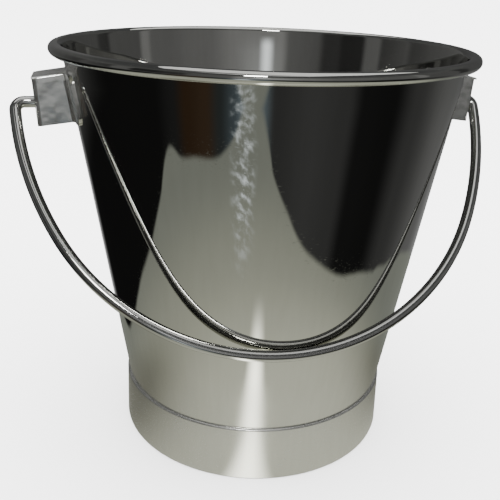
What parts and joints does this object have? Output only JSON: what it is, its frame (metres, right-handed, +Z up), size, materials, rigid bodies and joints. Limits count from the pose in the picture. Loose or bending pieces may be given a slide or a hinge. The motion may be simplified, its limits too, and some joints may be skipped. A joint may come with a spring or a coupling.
{
  "type": "feed bucket",
  "caption": "Round stainless pail with a tapered wall, rolled rim, raised bottom on a foot ring, welded box ears and a swinging wire bail.",
  "frame": {"origin": "centre of the circle that the foot ring stands on", "axes": "+Z up along the bowl's axis; +X along the bail's axis, from one ear to the other; the bail rests on the -Y side"},
  "size_m": [0.3494, 0.3, 0.2975],
  "materials": {
    "bowl_steel": "mirror polished above, fine upright brush lines towards the base",
    "ring_steel": "satin, fine brush lines",
    "ear_steel": "polished pressed sheet",
    "wire_steel": "polished wire"
  },
  "bodies": {
    "pail": {"pail_body": "bowl_steel", "foot_ring": "ring_steel", "ear_left": "ear_steel", "ear_right": "ear_steel"},
    "bail": {"bail": "wire_steel"}
  },
  "joints": [
    {"name": "bail_swing", "type": "hinge", "parent": "pail", "child": "bail", "pos_m": [0, 0, 0.257], "axis": [-1, 0, 0], "range_deg": [0, 282.5]}
  ]
}
